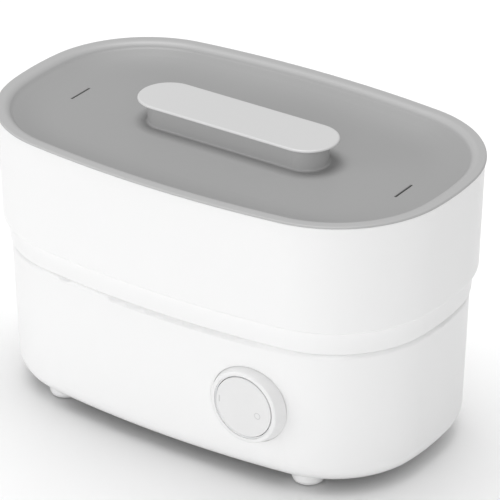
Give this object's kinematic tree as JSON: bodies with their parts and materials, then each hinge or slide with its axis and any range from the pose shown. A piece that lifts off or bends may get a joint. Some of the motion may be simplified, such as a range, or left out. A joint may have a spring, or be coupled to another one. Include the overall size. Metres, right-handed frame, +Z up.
{
  "type": "bottle sterilizer",
  "caption": "Oval electric steam sterilizer in white plastic with a grey lid, a long flat lid handle, a stepped upper housing and a round front knob on a footed base.",
  "frame": {"origin": "on the floor, under the middle of the oval body", "axes": "+X along the length, towards the knob's end; +Y to the rear; +Z up; the knob faces -Y"},
  "size_m": [0.29, 0.176, 0.1822],
  "materials": {
    "shell_white": "satin moulded plastic",
    "lid_grey": "fine satin grey plastic",
    "handle_white": "satin",
    "knob_white": "satin",
    "ring_clear": "frosted light guide",
    "knob_grey": "smooth",
    "mark_grey": "printed grey",
    "steel": "zinc plated",
    "cover_white": "fine texture",
    "screw_steel": "plain",
    "pad_rubber": "matt",
    "foot_white": "satin",
    "gland_grey": "satin",
    "basin_grey": "smooth",
    "stainless": "polished",
    "silicone": "translucent silicone",
    "element_steel": "oxidised",
    "aluminium_can": "drawn",
    "fuse_white": "ceramic sleeve",
    "board_green": "solder mask",
    "part_black": "moulded",
    "terminal_white": "nylon",
    "brass": "plain",
    "switch_black": "moulded",
    "lamp_clear": "clear",
    "rack_white": "satin polypropylene",
    "tray_white": "satin polypropylene"
  },
  "bodies": {
    "base": {"base_housing": "shell_white", "bottom_cover": "cover_white", "cover_screws": "screw_steel", "foot_front_left": "foot_white", "foot_front_right": "foot_white", "foot_rear_left": "foot_white", "foot_rear_right": "foot_white", "foot_pads": "pad_rubber", "cord_gland": "gland_grey", "water_basin": "basin_grey", "heating_plate": "stainless", "plate_seal": "silicone", "plate_clamp": "steel", "heating_element": "element_steel", "thermostat": "aluminium_can", "thermostat_bracket": "steel", "thermal_fuse": "fuse_white", "control_board": "board_green", "board_parts": "part_black", "terminal_block": "terminal_white", "terminal_screws": "brass", "rotary_switch": "switch_black", "switch_nut": "steel", "indicator_lamp": "lamp_clear"},
    "housing": {"upper_housing": "shell_white"},
    "rack": {"bottle_rack": "rack_white", "rack_pegs": "rack_white", "rack_loops": "rack_white"},
    "tray": {"small_parts_tray": "tray_white"},
    "lid": {"lid": "lid_grey", "lid_handle": "handle_white", "handle_screws": "screw_steel"},
    "knob": {"knob_collar": "knob_white", "knob_light_ring": "ring_clear", "knob_face": "knob_grey", "knob_marks": "mark_grey", "knob_spindle": "steel"}
  },
  "joints": [
    {"name": "housing_lift", "type": "slide", "parent": "base", "child": "housing", "axis": [0, 0, 1], "range_m": [0, 0.12]},
    {"name": "rack_lift", "type": "slide", "parent": "housing", "child": "rack", "axis": [0, 0, 1], "range_m": [0, 0.11]},
    {"name": "tray_lift", "type": "slide", "parent": "rack", "child": "tray", "axis": [0, 0, 1], "range_m": [0, 0.06]},
    {"name": "lid_lift", "type": "slide", "parent": "tray", "child": "lid", "axis": [0, 0, 1], "range_m": [0, 0.08]},
    {"name": "knob_turn", "type": "hinge", "parent": "base", "child": "knob", "pos_m": [0.0599, -0.0746, 0.0518], "axis": [0, 1, 0], "range_deg": [0, 90]}
  ]
}
